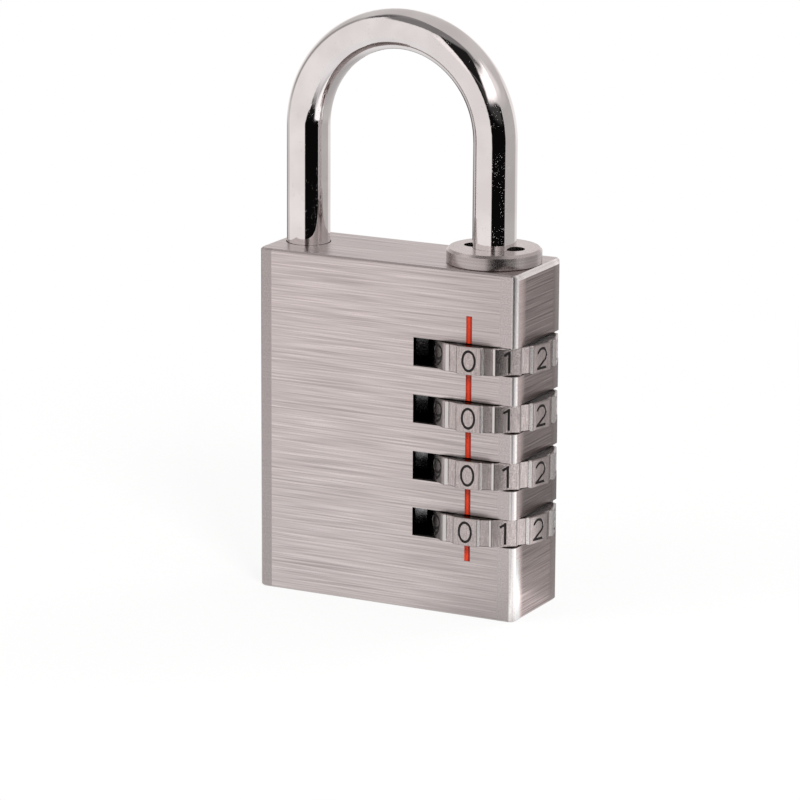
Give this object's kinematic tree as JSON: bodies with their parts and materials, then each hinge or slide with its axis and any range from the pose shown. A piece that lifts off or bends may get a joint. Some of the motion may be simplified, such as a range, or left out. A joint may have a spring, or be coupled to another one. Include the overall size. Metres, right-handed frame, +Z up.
{
  "type": "combination padlock",
  "caption": "Padlock with a metal case, a round-bar shackle and numbered dials in open slots; the shackle lifts out when the dials line up.",
  "frame": {"origin": "centre of the case's flat underside", "axes": "+Z up towards the shackle's bow, +X towards the numbered dials and the shackle's long leg, -Y is the front with the index line"},
  "size_m": [0.0421, 0.0178, 0.0829],
  "materials": {
    "case_metal": "brushed along X, clear",
    "shackle_nickel": "polished nickel plate",
    "collar_metal": "satin, turned",
    "dial_metal": "satin nickel plate",
    "index_paint": "red paint in a groove",
    "numeral_paint": "black paint in the engraving",
    "sleeve_brass": "turned",
    "spring_steel": "bright",
    "plug_metal": "satin"
  },
  "bodies": {
    "case_body": {"case": "case_metal", "collar": "collar_metal", "index_line": "index_paint", "base_plug": "plug_metal", "channel_plug": "plug_metal", "sleeve_spring": "spring_steel", "detent_spring_1": "spring_steel", "detent_spring_2": "spring_steel", "detent_spring_3": "spring_steel", "detent_spring_4": "spring_steel"},
    "shackle_body": {"shackle": "shackle_nickel", "retaining_clip": "spring_steel"},
    "dial_1": {"dial_ring_1": "dial_metal", "numerals_1": "numeral_paint", "code_sleeve_1": "sleeve_brass"},
    "dial_2": {"dial_ring_2": "dial_metal", "numerals_2": "numeral_paint", "code_sleeve_2": "sleeve_brass"},
    "dial_3": {"dial_ring_3": "dial_metal", "numerals_3": "numeral_paint", "code_sleeve_3": "sleeve_brass"},
    "dial_4": {"dial_ring_4": "dial_metal", "numerals_4": "numeral_paint", "code_sleeve_4": "sleeve_brass"}
  },
  "joints": [
    {"name": "shackle_lift", "type": "slide", "parent": "case_body", "child": "shackle_body", "axis": [0, 0, 1], "range_m": [0, 0.00807]},
    {"name": "dial_1_turn", "type": "hinge", "parent": "case_body", "child": "dial_1", "pos_m": [0.01306, 0, 0.0368], "axis": [0, 0, 1], "continuous": true, "deforming": ["detent_spring_1"]},
    {"name": "dial_2_turn", "type": "hinge", "parent": "case_body", "child": "dial_2", "pos_m": [0.01306, 0, 0.02873], "axis": [0, 0, 1], "continuous": true, "deforming": ["detent_spring_2"]},
    {"name": "dial_3_turn", "type": "hinge", "parent": "case_body", "child": "dial_3", "pos_m": [0.01306, 0, 0.02065], "axis": [0, 0, 1], "continuous": true, "deforming": ["detent_spring_3"]},
    {"name": "dial_4_turn", "type": "hinge", "parent": "case_body", "child": "dial_4", "pos_m": [0.01306, 0, 0.01259], "axis": [0, 0, 1], "continuous": true, "deforming": ["detent_spring_4"]}
  ]
}
